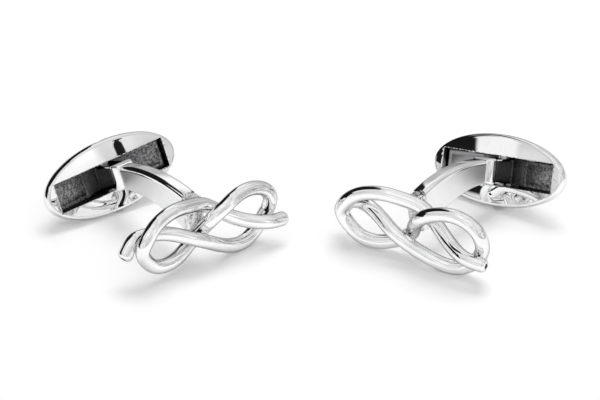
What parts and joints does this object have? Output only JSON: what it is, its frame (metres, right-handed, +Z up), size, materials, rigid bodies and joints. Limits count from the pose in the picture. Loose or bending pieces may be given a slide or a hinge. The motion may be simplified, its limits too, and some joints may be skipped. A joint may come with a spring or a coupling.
{
  "type": "cufflink",
  "caption": "Polished cufflinks with a figure-eight wire-knot front on an arched post and an oval toggle back that swings on a pin.",
  "frame": {"origin": "middle of the pair's bounding box, on the table it lies on", "axes": "+Z up from the table, +X from the left cufflink to the right one, +Y from the knots back to the toggles"},
  "size_m": [0.0555, 0.026, 0.0079],
  "materials": {
    "wire_silver": "mirror polish",
    "post_silver": "mirror polish",
    "toggle_silver": "mirror polish",
    "pin_silver": "polished",
    "solder": "bright, uneven",
    "spring_steel": "dark, finely mottled"
  },
  "bodies": {
    "left_front": {"left_knot_wire": "wire_silver", "left_solder_seat": "solder", "left_post": "post_silver"},
    "left_toggle": {"left_toggle_shell": "toggle_silver", "left_leaf_spring": "spring_steel", "left_hinge_pin": "pin_silver"},
    "right_front": {"right_knot_wire": "wire_silver", "right_solder_seat": "solder", "right_post": "post_silver"},
    "right_toggle": {"right_toggle_shell": "toggle_silver", "right_leaf_spring": "spring_steel", "right_hinge_pin": "pin_silver"}
  },
  "joints": [
    {"name": "left_toggle_swing", "type": "hinge", "parent": "left_front", "child": "left_toggle", "pos_m": [-0.0212, 0.0069, 0.00367], "axis": [-0.3041, 0.251, 0.919], "range_deg": [-65, 65]},
    {"name": "right_toggle_swing", "type": "hinge", "parent": "right_front", "child": "right_toggle", "pos_m": [0.0211, 0.0079, 0.00377], "axis": [0.1041, 0.3747, 0.9213], "range_deg": [-65, 65]},
    {"name": "right_lift", "type": "slide", "parent": "left_front", "child": "right_front", "axis": [0, 0, 1], "range_m": [0, 0.03]}
  ]
}
